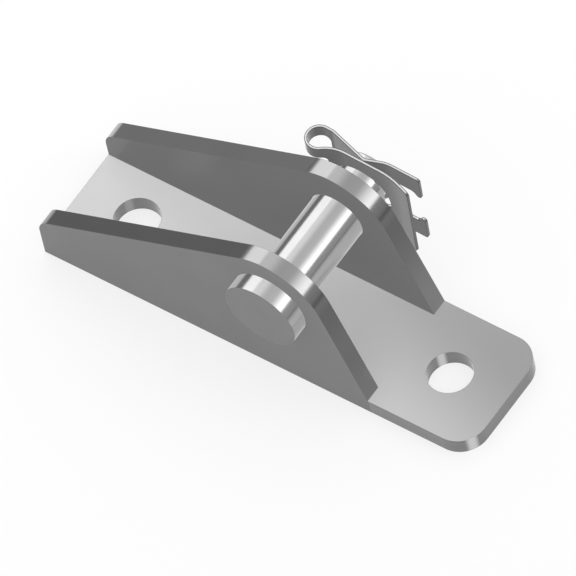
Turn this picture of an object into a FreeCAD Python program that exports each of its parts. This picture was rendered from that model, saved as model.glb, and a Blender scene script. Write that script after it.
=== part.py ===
import FreeCAD, Part
import math
import os

# Gas spring bracket: a folded sheet with two ears, the headed pin that carries the spring's eye between them,
# and the bent spring-steel clip that snaps into the pin's groove.
# Millimetres. The origin lies on the underside, midway between the screw holes. +X runs along the base to its
# rounded tongue, -Y points to the pin's head, +Z points up.

# Bracket
sheet_thickness = 2.5
ear_gap = 13.0
hole_spacing = 50.0
screw_hole_diameter = 6.4
hole_to_end = 9.0
tongue_corner_radius = 4.0
ear_length = 52.0
ear_end_height = 7.0
ear_corner_radius = 3.0
ear_rim_radius = 8.5

# Pin
pin_height = 16.5
pin_to_square_end = 39.0
pin_diameter = 7.9
pin_clearance = 0.05
head_diameter = 11.0
head_thickness = 2.5
head_seat_gap = 0.05
groove_diameter = 6.6
groove_clearance = 0.08
collar_length = 1.4
collar_chamfer = 0.35

# Clip: the strip is bent from a blank of even thickness. Lengths run along the strip from the pin's axis,
# and levels are measured from the ear's outer face to the side of the strip that faces the ear.
clip_tilt = 3.3
strip_thickness = 0.4
strip_width = 14.0
strip_corner_radius = 0.5
loop_level = 1.05
loop_radius = 1.94
loop_flat = 0.85
loop_neck_radius = 5.2
loop_neck_place = 1.55
rail_width = 2.0
window_corner_radius = 0.8
leaf_level = 2.52
leaf_reach = 9.2
leaf_lip_length = 5.3
leaf_lip_radius = 11.4
leaf_lip_angle = 17.3
leaf_hole_diameter = 9.2
leaf_hole_clearance = 0.05
leaf_ligament = 0.8
leaf_window_end = 3.9
nip_gap = 0.04
nip_place = 1.15
nip_radius = 0.88
fork_level = 3.97
fork_overhang = 0.1
fork_bend_place = 4.85
fork_bend_radius = 4.5
fork_clearance = 0.3
fork_root = 4.2
fork_root_radius = 1.5
fork_window_end = 5.2
mouth_width = 5.1
mouth_depth = 0.45
mouth_shoulder = 0.8
mouth_shoulder_radius = 0.8
mouth_tip_radius = 0.4

# Sizes that follow from the ones above
overall_width = ear_gap + 2 * sheet_thickness
outer_face = overall_width / 2
square_end = -hole_spacing / 2 - hole_to_end
tongue_end = hole_spacing / 2 + hole_to_end
pin_x = square_end + pin_to_square_end
pin_radius = pin_diameter / 2
groove_radius = groove_diameter / 2
half_thickness = strip_thickness / 2
half_strip = strip_width / 2
window_half = half_strip - rail_width
fork_half = groove_radius + fork_clearance
fork_reach = leaf_reach + fork_overhang
leaf_hole_radius = leaf_hole_diameter / 2
leaf_hole_place = leaf_hole_radius - pin_radius - leaf_hole_clearance
nip_level = leaf_level + strip_thickness + nip_gap
past = 2.0


def left_of(heading):
    """Unit vector to the left of a heading."""
    return (-math.sin(heading), math.cos(heading))


def rounded_outline(corners, place):
    """Closed wire through (a, b, radius) corners. place turns each (a, b) into a point."""
    edges = []
    ends = []
    for i, (a, b, radius) in enumerate(corners):
        before = corners[i - 1]
        after = corners[(i + 1) % len(corners)]
        back = math.atan2(before[1] - b, before[0] - a)
        ahead = math.atan2(after[1] - b, after[0] - a)
        half = math.acos(max(-1.0, math.cos(ahead - back))) / 2
        if radius == 0:
            ends.append((place(a, b), place(a, b)))
            continue
        run = radius / math.tan(half)
        start = (a + run * math.cos(back), b + run * math.sin(back))
        stop = (a + run * math.cos(ahead), b + run * math.sin(ahead))
        middle = math.atan2((start[1] + stop[1]) / 2 - b, (start[0] + stop[0]) / 2 - a)
        depth = radius / math.sin(half) - radius
        crown = (a + depth * math.cos(middle), b + depth * math.sin(middle))
        edges.append(Part.Arc(place(*start), place(*crown), place(*stop)).toShape())
        ends.append((place(*start), place(*stop)))
    for i, (start, stop) in enumerate(ends):
        following = ends[(i + 1) % len(ends)][0]
        if stop.distanceToPoint(following) > 1e-6:
            edges.append(Part.LineSegment(stop, following).toShape())
    return Part.Wire(Part.__sortEdges__(edges))


def plate(corners, place, thickness_vector):
    """Solid of one thickness behind a rounded outline."""
    return Part.Face(rounded_outline(corners, place)).extrude(thickness_vector)


def tangent_point(corner, centre, radius, side):
    """Where a line from a corner touches a circle, on its left (+1) or right (-1) as seen from the corner."""
    dx = corner[0] - centre[0]
    dy = corner[1] - centre[1]
    angle = math.atan2(dy, dx) + side * math.acos(radius / math.hypot(dx, dy))
    return (centre[0] + radius * math.cos(angle), centre[1] + radius * math.sin(angle))


def meeting_point(p1, p2, p3, p4):
    """Where the line through p1 and p2 meets the line through p3 and p4."""
    ax, ay = p2[0] - p1[0], p2[1] - p1[1]
    bx, by = p4[0] - p3[0], p4[1] - p3[1]
    along = ((p3[0] - p1[0]) * by - (p3[1] - p1[1]) * bx) / (ax * by - ay * bx)
    return (p1[0] + along * ax, p1[1] + along * ay)


def ear(near_face):
    """One ear, from its outline seen along +Y. Both long edges run tangent into the rim round the pin."""
    centre = (pin_x, pin_height)
    end_corner = (square_end, ear_end_height)
    foot = (square_end + ear_length, sheet_thickness)
    rise = tangent_point(end_corner, centre, ear_rim_radius, -1)
    fall = tangent_point(foot, centre, ear_rim_radius, 1)
    crown = meeting_point(end_corner, rise, foot, fall)
    corners = [
        (square_end, 0, 0),
        (end_corner[0], end_corner[1], ear_corner_radius),
        (crown[0], crown[1], ear_rim_radius),
        (foot[0], foot[1], 0),
        (foot[0], 0, 0),
    ]
    along = FreeCAD.Vector(0, sheet_thickness, 0)
    return plate(corners, lambda a, b: FreeCAD.Vector(a, near_face, b), along)


def screw_hole(x):
    """Cutter for one screw hole through the base."""
    foot = FreeCAD.Vector(x, 0, -past)
    return Part.makeCylinder(screw_hole_diameter / 2, sheet_thickness + 2 * past, foot)


def bracket():
    """The folded sheet: base, two ears, two screw holes and the pin's hole through both ears."""
    base_corners = [
        (square_end, -outer_face, 0),
        (tongue_end, -outer_face, tongue_corner_radius),
        (tongue_end, outer_face, tongue_corner_radius),
        (square_end, outer_face, 0),
    ]
    up = FreeCAD.Vector(0, 0, sheet_thickness)
    body = plate(base_corners, lambda a, b: FreeCAD.Vector(a, b, 0), up)
    body = body.fuse([ear(-outer_face), ear(outer_face - sheet_thickness)])
    pin_hole = Part.makeCylinder(
        pin_radius + pin_clearance,
        overall_width + 2 * past,
        FreeCAD.Vector(pin_x, -outer_face - past, pin_height),
        FreeCAD.Vector(0, 1, 0),
    )
    body = body.cut([pin_hole, screw_hole(-hole_spacing / 2), screw_hole(hole_spacing / 2)])
    return body.removeSplitter()


def clip_bends():
    """The strip's middle line from the leaf's free end round the loop to the fork's end.

    Each bend is (length, level, signed radius): left turns are positive, the two free ends have none, and
    straight runs are the common tangents of neighbouring bends."""
    leaf = leaf_level + half_thickness
    fork = fork_level + half_thickness
    nip = nip_level + half_thickness
    turn = loop_radius - half_thickness
    loop_centre = loop_level + loop_radius
    neck_centre = leaf - loop_neck_radius
    rise = loop_centre - neck_centre
    loop_place = -loop_neck_place - math.sqrt((turn + loop_neck_radius) ** 2 - rise ** 2)
    lip_angle = math.radians(leaf_lip_angle)
    lip_straight = leaf_lip_length - leaf_lip_radius * math.sin(lip_angle)
    lip_drop = leaf_lip_radius * (1 - math.cos(lip_angle)) + lip_straight * math.tan(lip_angle)
    return [
        (leaf_reach, leaf - lip_drop, 0),
        (leaf_reach - leaf_lip_length, leaf - leaf_lip_radius, leaf_lip_radius),
        (-loop_neck_place, neck_centre, loop_neck_radius),
        (loop_place, loop_centre, -turn),
        (loop_place + loop_flat, loop_centre, -turn),
        (nip_place, nip + nip_radius, nip_radius),
        (fork_bend_place, fork - fork_bend_radius, -fork_bend_radius),
        (fork_reach, fork, 0),
    ]


def bend_headings(bends):
    """Heading of each straight run between neighbouring bends."""
    headings = []
    for (x1, y1, r1), (x2, y2, r2) in zip(bends, bends[1:]):
        reach = math.hypot(x2 - x1, y2 - y1)
        run = math.sqrt(max(0.0, reach ** 2 - (r2 - r1) ** 2))
        headings.append(math.atan2(y2 - y1, x2 - x1) - math.atan2(r2 - r1, run))
    return headings


def strip_side(bends, headings, shift):
    """Edges of one side of the strip, shifted to the left of its middle line, and its first and last point."""
    def touch(bend, heading):
        x, y, radius = bend
        nx, ny = left_of(heading)
        return FreeCAD.Vector(x - (radius - shift) * nx, y - (radius - shift) * ny, 0)

    edges = []
    for i, heading in enumerate(headings):
        start = touch(bends[i], heading)
        stop = touch(bends[i + 1], heading)
        if start.distanceToPoint(stop) > 1e-5:
            edges.append(Part.LineSegment(start, stop).toShape())
        if i + 1 < len(headings):
            turn = (headings[i + 1] - heading) % (2 * math.pi)
            if bends[i + 1][2] < 0:
                turn -= 2 * math.pi
            crown = touch(bends[i + 1], heading + turn / 2)
            following = touch(bends[i + 1], headings[i + 1])
            edges.append(Part.Arc(stop, crown, following).toShape())
    return edges, touch(bends[0], headings[0]), touch(bends[-1], headings[-1])


def bent_strip():
    """The full-width strip, bent but not yet pierced: X along the strip, Y away from the ear, Z across it."""
    bends = clip_bends()
    headings = bend_headings(bends)
    left, left_start, left_stop = strip_side(bends, headings, half_thickness)
    right, right_start, right_stop = strip_side(bends, headings, -half_thickness)
    caps = [
        Part.LineSegment(left_start, right_start).toShape(),
        Part.LineSegment(left_stop, right_stop).toShape(),
    ]
    profile = Part.Wire(Part.__sortEdges__(left + right + caps))
    strip = Part.Face(profile).extrude(FreeCAD.Vector(0, 0, strip_width))
    strip.translate(FreeCAD.Vector(0, 0, -half_strip))
    ends = [edge for edge in strip.Edges if is_free_corner(edge)]
    return strip.makeFillet(strip_corner_radius, ends)


def is_free_corner(edge):
    """True for the short edges through the sheet at the four corners of the two free ends."""
    middle = edge.CenterOfMass
    near_end = middle.x > min(leaf_reach, fork_reach) - past
    return near_end and abs(abs(middle.z) - half_strip) < 1e-6 and abs(edge.Length - strip_thickness) < 1e-6


def mirrored(half_corners):
    """Closed corner list from the corners on one side of the strip's middle."""
    return half_corners + [(a, -b, radius) for a, b, radius in reversed(half_corners)]


def cutter(half_corners, low, high):
    """Cutter through one leaf between two levels, symmetric about the strip's middle."""
    away = FreeCAD.Vector(0, high - low, 0)
    return plate(mirrored(half_corners), lambda a, b: FreeCAD.Vector(a, low, b), away)


def clip_cutters(split, low, high):
    """What is pierced from the strip: the leaf's hole, the loop's window and the fork's slot."""
    far_left = -(leaf_reach + fork_reach)
    outward = FreeCAD.Vector(0, 1, 0)
    seat = FreeCAD.Vector(leaf_hole_place, low, 0)
    hole = Part.makeCylinder(leaf_hole_radius, split - low, seat, outward)
    ring = Part.makeCylinder(leaf_hole_radius + leaf_ligament, split - low, seat, outward)
    leaf_corners = [(far_left, window_half, 0), (-leaf_window_end, window_half, window_corner_radius)]
    fork_corners = [(far_left, window_half, 0), (-fork_window_end, window_half, window_corner_radius)]
    leaf_window = cutter(leaf_corners, low, split)
    fork_window = cutter(fork_corners, split, high)
    mouth_half = mouth_width / 2
    tip = fork_reach - mouth_depth
    slot = cutter(
        [
            (-fork_root, fork_half, fork_root_radius),
            (tip - mouth_shoulder, fork_half, mouth_shoulder_radius),
            (tip, mouth_half, mouth_tip_radius),
            (fork_reach + past, mouth_half + mouth_depth + past, 0),
        ],
        split,
        high,
    )
    return [hole, leaf_window.cut(ring), fork_window, slot]


def retaining_clip():
    """The pierced strip, set on the pin's axis and turned by its tilt."""
    split = leaf_level + strip_thickness + nip_gap / 2
    low = -past
    high = loop_level + 2 * loop_radius + fork_level
    clip = bent_strip().cut(clip_cutters(split, low, high)).removeSplitter()
    clip.translate(FreeCAD.Vector(0, outer_face, 0))
    clip.rotate(FreeCAD.Vector(0, 0, 0), FreeCAD.Vector(0, 1, 0), clip_tilt)
    clip.translate(FreeCAD.Vector(pin_x, 0, pin_height))
    return clip


def groove_span():
    """First and last Y of the pin's groove: the room that the fork's prongs take beside the pin's core."""
    loop_end, nip = clip_bends()[4:6]
    heading = bend_headings([loop_end, nip])[0]
    grip = math.sqrt(pin_radius ** 2 - fork_half ** 2)
    nx, ny = left_of(heading)
    touch_x = nip[0] - nip[2] * nx
    touch_y = nip[1] - nip[2] * ny
    high = touch_y - (touch_x + grip) * math.tan(heading) + half_thickness / math.cos(heading)
    start = outer_face + nip_level - groove_clearance
    return start, outer_face + high + groove_clearance


def clevis_pin():
    """The turned pin: head, shank, groove for the clip and a chamfered collar, revolved about its axis."""
    head_under = -outer_face - head_seat_gap
    groove_start, groove_end = groove_span()
    pin_end = groove_end + collar_length
    profile = [
        (0, head_under - head_thickness),
        (head_diameter / 2, head_under - head_thickness),
        (head_diameter / 2, head_under),
        (pin_radius, head_under),
        (pin_radius, groove_start),
        (groove_radius, groove_start),
        (groove_radius, groove_end),
        (pin_radius, groove_end),
        (pin_radius, pin_end - collar_chamfer),
        (pin_radius - collar_chamfer, pin_end),
        (0, pin_end),
    ]
    points = [FreeCAD.Vector(pin_x + radius, y, pin_height) for radius, y in profile]
    face = Part.Face(Part.makePolygon(points + points[:1]))
    axis_point = FreeCAD.Vector(pin_x, 0, pin_height)
    return face.revolve(axis_point, FreeCAD.Vector(0, 1, 0), 360)


def main():
    os.makedirs("parts", exist_ok=True)
    nodes = {"bracket": bracket(), "clevis_pin": clevis_pin(), "retaining_clip": retaining_clip()}
    for name, shape in nodes.items():
        solid = shape.Solids[0]
        print(name, "solids", len(shape.Solids), "valid", shape.isValid(), "volume", round(solid.Volume, 2))
        solid.exportStep("parts/" + name + ".step")


main()
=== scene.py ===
import math
import bpy
from mathutils import Matrix, Vector


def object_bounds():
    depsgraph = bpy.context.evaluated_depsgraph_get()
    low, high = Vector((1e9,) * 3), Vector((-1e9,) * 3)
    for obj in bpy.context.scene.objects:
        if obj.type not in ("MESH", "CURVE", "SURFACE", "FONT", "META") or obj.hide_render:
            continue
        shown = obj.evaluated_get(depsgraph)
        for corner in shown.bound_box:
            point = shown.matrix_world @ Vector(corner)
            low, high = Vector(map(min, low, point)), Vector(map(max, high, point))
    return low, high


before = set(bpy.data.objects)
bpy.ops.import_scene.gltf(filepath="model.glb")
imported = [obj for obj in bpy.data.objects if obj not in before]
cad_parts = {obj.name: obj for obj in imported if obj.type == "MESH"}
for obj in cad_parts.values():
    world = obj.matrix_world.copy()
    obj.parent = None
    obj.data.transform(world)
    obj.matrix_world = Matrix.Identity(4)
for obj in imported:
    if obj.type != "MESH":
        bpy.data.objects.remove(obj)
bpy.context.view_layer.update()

MM = 0.001

# Camera: a parallel view. Its angles are of the direction from the part to the camera.
CAMERA_AZIMUTH = math.radians(46.484)
CAMERA_ELEVATION = math.radians(55.227)
CAMERA_ROLL = math.radians(-14.623)
CAMERA_DISTANCE = 0.4
CAMERA_CLIP = (1 * MM, 20.0)
IMAGE_SIZE = 576
PIXELS_PER_MM = 7.658
ANCHOR = Vector((6, 0, 10)) * MM
ANCHOR_PIXEL = (322.813, 282.274)

# Lamp: its direction and distance are from the lit point. A radiance of 1 shows as white.
LIT_POINT = Vector((5, 0, 20)) * MM
LEFT_BOX = {
    "direction": (-0.70, 0.39, 0.595),
    "distance": 0.20,
    "width": 0.15,
    "height": 0.115,
    "radiance": 1.45,
}

# Sky: each step lies between two values of a direction's x, y or z, and goes from one number to another.
SKY_LOW = (-1.0, 1.0, 0.32, 0.62)
SKY_RISE = (0.345, 0.42, 0.0, 1.0)
SKY_BEHIND = (0.05, 0.35, 0.0, 1.0)
SKY_LEFT = (-0.54, -0.44, 0.0, 0.68)
SKY_LEFT_END = (-0.28, 0.10, 1.0, 0.0)
SKY_RIGHT = (0.40, 0.88, 0.0, 2.3)
SKY_FRONT = 0.70
SKY_BACK = -0.15

# Floor: a painted pool of light, which fades to its far tone between two distances from its centre.
FLOOR_SIZE = 3.0
FLOOR_CENTRE = Vector((-60, 0, 0)) * MM
FLOOR_FADE = (0.11, 0.27)
FLOOR_COLOUR = 0.75
FLOOR_FAR_COLOUR = 0.40
FLOOR_WHITENESS = 0.75
FLOOR_GLOW = 1.02

# Nearly all of a noise's values lie between these.
NOISE_RANGE = (0.3, 0.7)

# Steel: the share of a hazy surface that mirrors as metal, while the rest of it scatters light.
HAZY_METAL = 0.8
EAR_METAL = 0.6
GRAIN_DEPTH = 0.0001 * MM
BEVEL_SAMPLES = 8

# A surface faces along an axis where its normal's part along that axis is above this.
FACING = 0.9
FACING_SOFTNESS = 0.02

# Places on the bracket. Its kinds of surface are told apart a little clear of the surfaces themselves.
SHEET = 2.5 * MM
HALF_GAP = 6.5 * MM
SOFT_STEP = 0.1 * MM
BASE_TOP = SHEET + 0.5 * MM
EAR_INSIDE = HALF_GAP - 0.1 * MM
EAR_MIDDLE = HALF_GAP + 0.6 * SHEET
EAR_FOOT = 18.2 * MM
CROWN_START = 1.3 * MM

# Tones of the bracket's rolled faces, with painted light and shade. The ears' faces are painted darker than
# the base's, their inner faces darker still. The tongue fades from its far side to its near one, on a slant,
# as a painted light that is lighter at its near side.
EAR_INSIDE_GREY = (0.125, 0.137)
EAR_OUTSIDE_GREY = (0.152, 0.166)
BASE_GREY = (0.26, 0.27)
TONGUE_START = (10 * MM, 22 * MM)
TONGUE_SLANT = 0.35
TONGUE_PAINTED_LIGHT_FADE = (17 * MM, -3 * MM)
TONGUE_PAINTED_LIGHT_GREY = (0.225, 0.37)
FACE_ROUGHNESS = (0.20, 0.22)

# Tones of its blanked edges, with painted light and shade. The falls darken upwards as painted shade,
# upright edges are painted darker than those that face upwards, the far ear's slope is painted lighter than
# the near one's, and one way that an edge can face has a painted highlight, a light streak.
CUT_GREY = (0.20, 0.235)
PAINTED_GLINT_WAY = Vector((0.84, -0.54, 0))
PAINTED_GLINT_FADE = (0.955, 1.0)
PAINTED_GLINT_GREY = (0.33, 0.60)
FALL_FADE = (2.5 * MM, 19 * MM)
FALL_PAINTED_SHADE_GREY = (0.204, 0.12)
UPWARD_FADE = (0.25, 0.70)
CROWN_GREY = (0.275, 0.29)
FAR_SLOPE_PAINTED_LIGHT_GREY = (0.42, 0.44)
EDGE_ROUGHNESS = (0.13, 0.16)
BRACKET_EDGE_RADIUS = 0.07 * MM

# Tones of the pin.
TURNED_GREY = (0.38, 0.40)
TURNED_ROUGHNESS = (0.15, 0.18)
PIN_END_GREY = (0.182, 0.192)
PIN_END_ROUGHNESS = 0.28
PIN_EDGE_RADIUS = 0.04 * MM

# Tones of the clip. Both its faces and its sheared edges have a dark line at their corners.
STRIP_GREY = (0.14, 0.16)
STRIP_LINE_GREY = 0.07
STRIP_ROUGHNESS = (0.14, 0.18)
SHEARED_GREY = 0.50
SHEARED_LINE_GREY = 0.10
SHEARED_ROUGHNESS = 0.20
SHEARED_SOFTNESS = 0.05
LINE_WIDTH = 0.25 * MM
LINE_TURN = 0.15
LINE_SOFTNESS = 0.08
CLIP_EDGE_RADIUS = 0.06 * MM


def camera_axes():
    """Right, up and back vectors of the rolled camera."""
    back = Vector((
        math.sin(CAMERA_AZIMUTH) * math.cos(CAMERA_ELEVATION),
        -math.cos(CAMERA_AZIMUTH) * math.cos(CAMERA_ELEVATION),
        math.sin(CAMERA_ELEVATION),
    ))
    right = Vector((math.cos(CAMERA_AZIMUTH), math.sin(CAMERA_AZIMUTH), 0))
    up = back.cross(right)
    rolled_right = right * math.cos(CAMERA_ROLL) + up * math.sin(CAMERA_ROLL)
    rolled_up = up * math.cos(CAMERA_ROLL) - right * math.sin(CAMERA_ROLL)
    return rolled_right, rolled_up, back


def frame_matrix(x_axis, y_axis, z_axis, place):
    """Matrix of an object with these axes at this place."""
    rows = Matrix((x_axis, y_axis, z_axis)).transposed().to_4x4()
    return Matrix.Translation(place) @ rows


def make_camera():
    """A camera that shows the anchor at its pixel."""
    right, up, back = camera_axes()
    centre = IMAGE_SIZE / 2
    across = (centre - ANCHOR_PIXEL[0]) / PIXELS_PER_MM * MM
    upward = (ANCHOR_PIXEL[1] - centre) / PIXELS_PER_MM * MM
    target = ANCHOR + right * across + up * upward
    data = bpy.data.cameras.new("camera")
    data.type = "ORTHO"
    data.ortho_scale = IMAGE_SIZE / PIXELS_PER_MM * MM
    data.clip_start, data.clip_end = CAMERA_CLIP
    camera = bpy.data.objects.new("camera", data)
    camera.matrix_world = frame_matrix(right, up, back, target + back * CAMERA_DISTANCE)
    bpy.context.scene.collection.objects.link(camera)
    bpy.context.scene.camera = camera


def make_softbox(name, direction, distance, width, height, radiance):
    """A rectangular lamp that faces the part, with its long side level."""
    back = Vector(direction).normalized()
    right = Vector((0, 0, 1)).cross(back).normalized()
    data = bpy.data.lights.new(name, "AREA")
    data.shape = "RECTANGLE"
    data.size = width
    data.size_y = height
    data.energy = radiance * math.pi * width * height
    lamp = bpy.data.objects.new(name, data)
    lamp.matrix_world = frame_matrix(right, back.cross(right), back, LIT_POINT + back * distance)
    lamp.visible_camera = False
    bpy.context.scene.collection.objects.link(lamp)


class Nodes:
    """Short calls that build one node tree. A mask is a number: 1 where something holds and 0 elsewhere."""

    def __init__(self, tree):
        self.tree = tree

    def add(self, kind, settings=None, **sockets):
        """A node. Its sockets are given by name, with _ for a space, or as _0, _1 and so on by number."""
        node = self.tree.nodes.new(kind)
        for key, value in (settings or {}).items():
            setattr(node, key, value)
        for key, value in sockets.items():
            socket = node.inputs[int(key[1:])] if key[0] == "_" else node.inputs[key.replace("_", " ")]
            if isinstance(value, bpy.types.NodeSocket):
                self.tree.links.new(value, socket)
            else:
                socket.default_value = value
        return node

    def math(self, operation, first, second=0.0):
        """A number worked out from one or two others."""
        return self.add("ShaderNodeMath", {"operation": operation}, _0=first, _1=second).outputs[0]

    def vector_math(self, operation, first, second):
        """A number worked out from two vectors."""
        node = self.add("ShaderNodeVectorMath", {"operation": operation}, _0=first, _1=second)
        return node.outputs["Value"]

    def axes(self, vector):
        """A vector's X, Y and Z."""
        return self.add("ShaderNodeSeparateXYZ", Vector=vector).outputs

    def step(self, value, start, stop, low, high):
        """A smooth change from low to high while the value goes from start to stop."""
        node = self.add(
            "ShaderNodeMapRange",
            {"interpolation_type": "SMOOTHSTEP"},
            Value=value,
            From_Min=start,
            From_Max=stop,
            To_Min=low,
            To_Max=high,
        )
        return node.outputs["Result"]

    def above(self, value, limit, softness):
        """A mask of where the value is above the limit."""
        return self.step(value, limit - softness, limit + softness, 0.0, 1.0)

    def below(self, value, limit, softness):
        """A mask of where the value is below the limit."""
        return self.step(value, limit - softness, limit + softness, 1.0, 0.0)

    def both(self, first, second):
        """A mask of where both masks hold."""
        return self.math("MULTIPLY", first, second)

    def along(self, normal_part, softness=FACING_SOFTNESS):
        """A mask of the surfaces that face along an axis, from their normal's part along it."""
        return self.above(self.math("ABSOLUTE", normal_part), FACING, softness)

    def spread(self, value, low, high):
        """Stretches a noise value's useful range to low..high."""
        node = self.add(
            "ShaderNodeMapRange",
            Value=value,
            From_Min=NOISE_RANGE[0],
            From_Max=NOISE_RANGE[1],
            To_Min=low,
            To_Max=high,
        )
        return node.outputs["Result"]

    def noise(self, coordinates, scale, stretch, detail):
        """Noise with grain about 1/scale metres wide, drawn out along each axis by stretch."""
        shrink = tuple(1 / value for value in stretch)
        mapping = self.add("ShaderNodeMapping", Vector=coordinates, Scale=shrink)
        node = self.add("ShaderNodeTexNoise", Vector=mapping.outputs[0], Scale=scale, Detail=detail)
        return node.outputs["Fac"]

    def mix(self, factor, first, second):
        """A number between two, by a factor."""
        node = self.add("ShaderNodeMix", {"data_type": "FLOAT"}, _0=factor, _2=first, _3=second)
        return node.outputs[0]

    def rounded_normal(self, radius):
        """The normal that the surface would have with its sharp edges rounded."""
        return self.add("ShaderNodeBevel", {"samples": BEVEL_SAMPLES}, Radius=radius).outputs[0]

    def sharp_edge(self, width):
        """A mask of what lies near a sharp edge. Both normals are the world's, so it holds in any pose."""
        normal = self.add("ShaderNodeNewGeometry").outputs["Normal"]
        turn = self.vector_math("DISTANCE", self.rounded_normal(width), normal)
        return self.above(turn, LINE_TURN, LINE_SOFTNESS)

    def grey(self, value):
        """A colour without hue."""
        return self.add("ShaderNodeCombineColor", Red=value, Green=value, Blue=value).outputs[0]


def make_world():
    """A plain studio sky: dim low down and in front, pale behind, brighter to the left and right."""
    world = bpy.data.worlds.new("studio")
    world.use_nodes = True
    world.node_tree.nodes.clear()
    build = Nodes(world.node_tree)
    direction = build.axes(build.add("ShaderNodeTexCoord").outputs["Generated"])
    low = build.step(direction["X"], *SKY_LOW)
    high = build.step(direction["Z"], *SKY_RISE)
    behind = build.step(direction["Y"], *SKY_BEHIND)
    left = build.both(build.step(direction["X"], *SKY_LEFT), build.step(direction["X"], *SKY_LEFT_END))
    right = build.step(direction["X"], *SKY_RIGHT)
    sides = build.math("ADD", build.math("ADD", left, right), SKY_BACK)
    upper = build.math("ADD", build.math("MULTIPLY", behind, sides), SKY_FRONT)
    strength = build.math("ADD", build.math("MULTIPLY", high, upper), low)
    background = build.add("ShaderNodeBackground", Color=(1, 1, 1, 1), Strength=strength)
    build.add("ShaderNodeOutputWorld", Surface=background.outputs[0])
    bpy.context.scene.world = world


def new_material(name):
    """An empty material, with the calls that build its nodes."""
    material = bpy.data.materials.new(name)
    material.use_nodes = True
    material.node_tree.nodes.clear()
    return material, Nodes(material.node_tree)


def pale_floor():
    """White with a painted pool of light, which dims with distance, as a table under a lamp does. Shadows
    still show on it.
    """
    material, build = new_material("pale_floor")
    place = build.add("ShaderNodeTexCoord").outputs["Object"]
    distance = build.vector_math("DISTANCE", place, FLOOR_CENTRE)
    # A painted pool of light: colour and glow dim with distance from the centre.
    colour = build.grey(build.step(distance, *FLOOR_FADE, FLOOR_COLOUR, FLOOR_FAR_COLOUR))
    white = build.grey(build.step(distance, *FLOOR_FADE, 1.0, FLOOR_FAR_COLOUR))
    ray = build.add("ShaderNodeLightPath").outputs
    mirrored = build.math("MAXIMUM", ray["Is Glossy Ray"], ray["Is Transmission Ray"])
    seen = build.math("MAXIMUM", ray["Is Camera Ray"], mirrored)
    share = build.math("MULTIPLY", seen, FLOOR_WHITENESS)
    diffuse = build.add("ShaderNodeBsdfDiffuse", Color=colour)
    glow = build.add("ShaderNodeEmission", Color=white, Strength=FLOOR_GLOW)
    mixed = build.add("ShaderNodeMixShader", _0=share, _1=diffuse.outputs[0], _2=glow.outputs[0])
    build.add("ShaderNodeOutputMaterial", Surface=mixed.outputs[0])
    return material


def make_floor():
    """A floor at the height that the part rests on."""
    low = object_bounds()[0][2]
    half = FLOOR_SIZE / 2
    corners = [(-half, -half, low), (half, -half, low), (half, half, low), (-half, half, low)]
    mesh = bpy.data.meshes.new("floor")
    mesh.from_pydata(corners, [], [(0, 1, 2, 3)])
    mesh.materials.append(pale_floor())
    floor = bpy.data.objects.new("floor", mesh)
    bpy.context.scene.collection.objects.link(floor)


def metal(build, colour, metallic, roughness, normal):
    """A metal surface, wired to the output."""
    shader = build.add(
        "ShaderNodeBsdfPrincipled", Base_Color=colour, Metallic=metallic, Roughness=roughness, Normal=normal
    )
    build.add("ShaderNodeOutputMaterial", Surface=shader.outputs[0])


def worn_normal(build, grain, edge_radius):
    """Edges broken by a small radius, with fine grain on top."""
    rounded = build.rounded_normal(edge_radius)
    return build.add("ShaderNodeBump", Height=grain, Normal=rounded, Distance=GRAIN_DEPTH).outputs[0]


def bracket_zones(build, place, normal_vector):
    """Masks of the bracket's kinds of surface, by name."""
    normal = build.axes(normal_vector)
    off_centre = build.math("ABSOLUTE", place["Y"])
    low = build.below(place["Z"], BASE_TOP, SOFT_STEP)
    beside_gap = build.above(off_centre, EAR_INSIDE, SOFT_STEP / 2)
    beyond_ears = build.both(low, build.above(place["X"], EAR_FOOT, SOFT_STEP))
    on_ear = build.both(beside_gap, build.math("SUBTRACT", 1.0, beyond_ears))
    before_crown = build.below(place["X"], CROWN_START, SOFT_STEP)
    # The edges that face this way get a painted highlight.
    glint_share = build.vector_math("DOT_PRODUCT", normal_vector, PAINTED_GLINT_WAY)
    painted_glint = build.step(glint_share, *PAINTED_GLINT_FADE, 0.0, 1.0)
    return {
        "low": low,
        "ear_face": build.both(build.along(normal["Y"]), on_ear),
        "base_face": build.both(build.along(normal["Z"]), low),
        "ear_outside": build.above(off_centre, EAR_MIDDLE, SOFT_STEP),
        "tongue": build.step(place["X"], *TONGUE_START, 0.0, 1.0),
        "far_slope": build.both(before_crown, build.above(place["Y"], 0.0, SOFT_STEP)),
        "upward": build.step(normal["Z"], *UPWARD_FADE, 0.0, 1.0),
        "painted_glint": build.math("MULTIPLY", painted_glint, painted_glint),
    }


def rolled_grey(build, zones, place, cloud):
    """Tone of the rolled faces: the ears outside and inside, and the base with its tongue, with painted
    shade on the ears and painted light on the tongue.
    """
    # Painted shade: the ears' faces are darker than the base's, their inner faces darker still.
    inside = build.spread(cloud, *EAR_INSIDE_GREY)
    ear = build.mix(zones["ear_outside"], inside, build.spread(cloud, *EAR_OUTSIDE_GREY))
    # Painted light: the tongue's tone grows lighter towards its near side, on a slant.
    slanted = build.math("ADD", place["Y"], build.math("MULTIPLY", place["X"], TONGUE_SLANT))
    tongue = build.step(slanted, *TONGUE_PAINTED_LIGHT_FADE, *TONGUE_PAINTED_LIGHT_GREY)
    base = build.mix(zones["tongue"], build.spread(cloud, *BASE_GREY), tongue)
    return build.mix(zones["ear_face"], base, ear)


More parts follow.
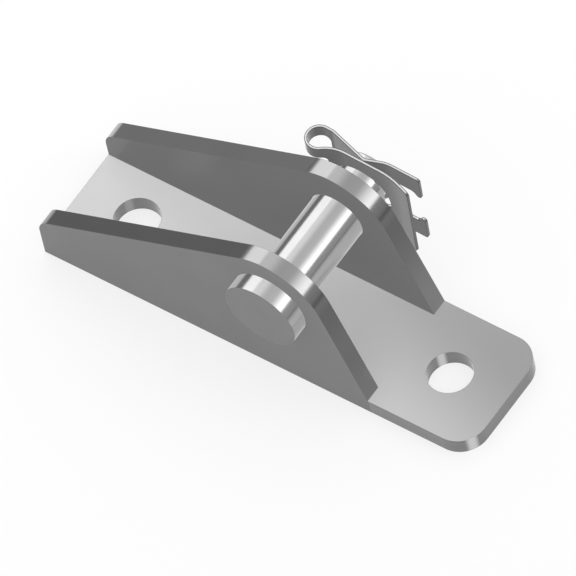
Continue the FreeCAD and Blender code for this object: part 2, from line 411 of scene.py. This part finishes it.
def blanked_grey(build, zones, place, cloud, shear_lines):
    """Tone of the blanked edges: the base's upright ones, the ears' falls, and those that face upwards, with
    painted light and shade.
    """
    # A painted highlight on the edges that face one way, brighter on the tongue.
    painted_glint = build.mix(zones["tongue"], *PAINTED_GLINT_GREY)
    cut = build.mix(zones["painted_glint"], build.spread(shear_lines, *CUT_GREY), painted_glint)
    # Painted shade: the falls darken upwards.
    fall = build.step(place["Z"], *FALL_FADE, *FALL_PAINTED_SHADE_GREY)
    upright = build.mix(zones["low"], fall, cut)
    crown = build.spread(cloud, *CROWN_GREY)
    # Painted light: the far ear's slope is lighter than the near one's.
    upward = build.mix(zones["far_slope"], crown, build.spread(cloud, *FAR_SLOPE_PAINTED_LIGHT_GREY))
    # Painted shade: upright edges are darker than those that face upwards.
    return build.mix(zones["upward"], upright, upward)


def bracket_steel():
    """Zinc-plated sheet: a soft haze with faint rolling grain on its faces, and bright blanked edges. Its
    greys carry painted light and shade by place and by facing.
    """
    material, build = new_material("bracket_steel")
    coordinates = build.add("ShaderNodeTexCoord").outputs
    place = build.axes(coordinates["Object"])
    zones = bracket_zones(build, place, coordinates["Normal"])
    rolled = build.math("MAXIMUM", zones["ear_face"], zones["base_face"])
    grain = build.noise(coordinates["Object"], scale=9000, stretch=(40, 1, 1), detail=3)
    cloud = build.noise(coordinates["Object"], scale=120, stretch=(1, 1, 1), detail=4)
    shear_lines = build.noise(coordinates["Object"], scale=3500, stretch=(60, 60, 1), detail=2)
    edge_grey = blanked_grey(build, zones, place, cloud, shear_lines)
    colour = build.grey(build.mix(rolled, edge_grey, rolled_grey(build, zones, place, cloud)))
    edge_roughness = build.spread(grain, *EDGE_ROUGHNESS)
    roughness = build.mix(rolled, edge_roughness, build.spread(grain, *FACE_ROUGHNESS))
    metallic = build.mix(rolled, 1.0, build.mix(zones["ear_face"], HAZY_METAL, EAR_METAL))
    metal(build, colour, metallic, roughness, worn_normal(build, grain, BRACKET_EDGE_RADIUS))
    return material


def pin_steel():
    """Turned and polished bar: fine rings round the axis over a soft sheen, and hazier flat ends."""
    material, build = new_material("pin_steel")
    coordinates = build.add("ShaderNodeTexCoord").outputs
    flat_end = build.along(build.axes(coordinates["Normal"])["Y"])
    rings = build.noise(coordinates["Object"], scale=7000, stretch=(30, 1, 30), detail=2)
    cloud = build.noise(coordinates["Object"], scale=250, stretch=(1, 1, 1), detail=3)
    turned_grey = build.spread(cloud, *TURNED_GREY)
    colour = build.grey(build.mix(flat_end, turned_grey, build.spread(cloud, *PIN_END_GREY)))
    roughness = build.mix(flat_end, build.spread(rings, *TURNED_ROUGHNESS), PIN_END_ROUGHNESS)
    metallic = build.mix(flat_end, 1.0, HAZY_METAL)
    metal(build, colour, metallic, roughness, worn_normal(build, rings, PIN_EDGE_RADIUS))
    return material


def spring_steel():
    """Hard drawn strip: faint grain along it, and bright sheared edges with dark lines beside them."""
    material, build = new_material("spring_steel")
    coordinates = build.add("ShaderNodeTexCoord").outputs
    sheared = build.along(build.axes(coordinates["Normal"])["Z"], SHEARED_SOFTNESS)
    grain = build.noise(coordinates["Object"], scale=9000, stretch=(30, 1, 1), detail=3)
    cloud = build.noise(coordinates["Object"], scale=300, stretch=(1, 1, 1), detail=3)
    line = build.sharp_edge(LINE_WIDTH)
    edge_grey = build.mix(line, SHEARED_GREY, SHEARED_LINE_GREY)
    face_grey = build.mix(line, build.spread(cloud, *STRIP_GREY), STRIP_LINE_GREY)
    colour = build.grey(build.mix(sheared, face_grey, edge_grey))
    roughness = build.mix(sheared, build.spread(grain, *STRIP_ROUGHNESS), SHEARED_ROUGHNESS)
    metal(build, colour, HAZY_METAL, roughness, worn_normal(build, grain, CLIP_EDGE_RADIUS))
    return material


def dress(name, material):
    """Puts a material on every slot of a node. No piece shows mirrored in another, as in the photograph."""
    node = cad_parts[name]
    node.visible_glossy = False
    if not node.data.materials:
        node.data.materials.append(material)
    for slot in node.material_slots:
        slot.material = material


make_camera()
make_world()
make_floor()
make_softbox("left_box", **LEFT_BOX)
dress("bracket", bracket_steel())
dress("clevis_pin", pin_steel())
dress("retaining_clip", spring_steel())
bpy.context.scene.view_settings.view_transform = "Standard"
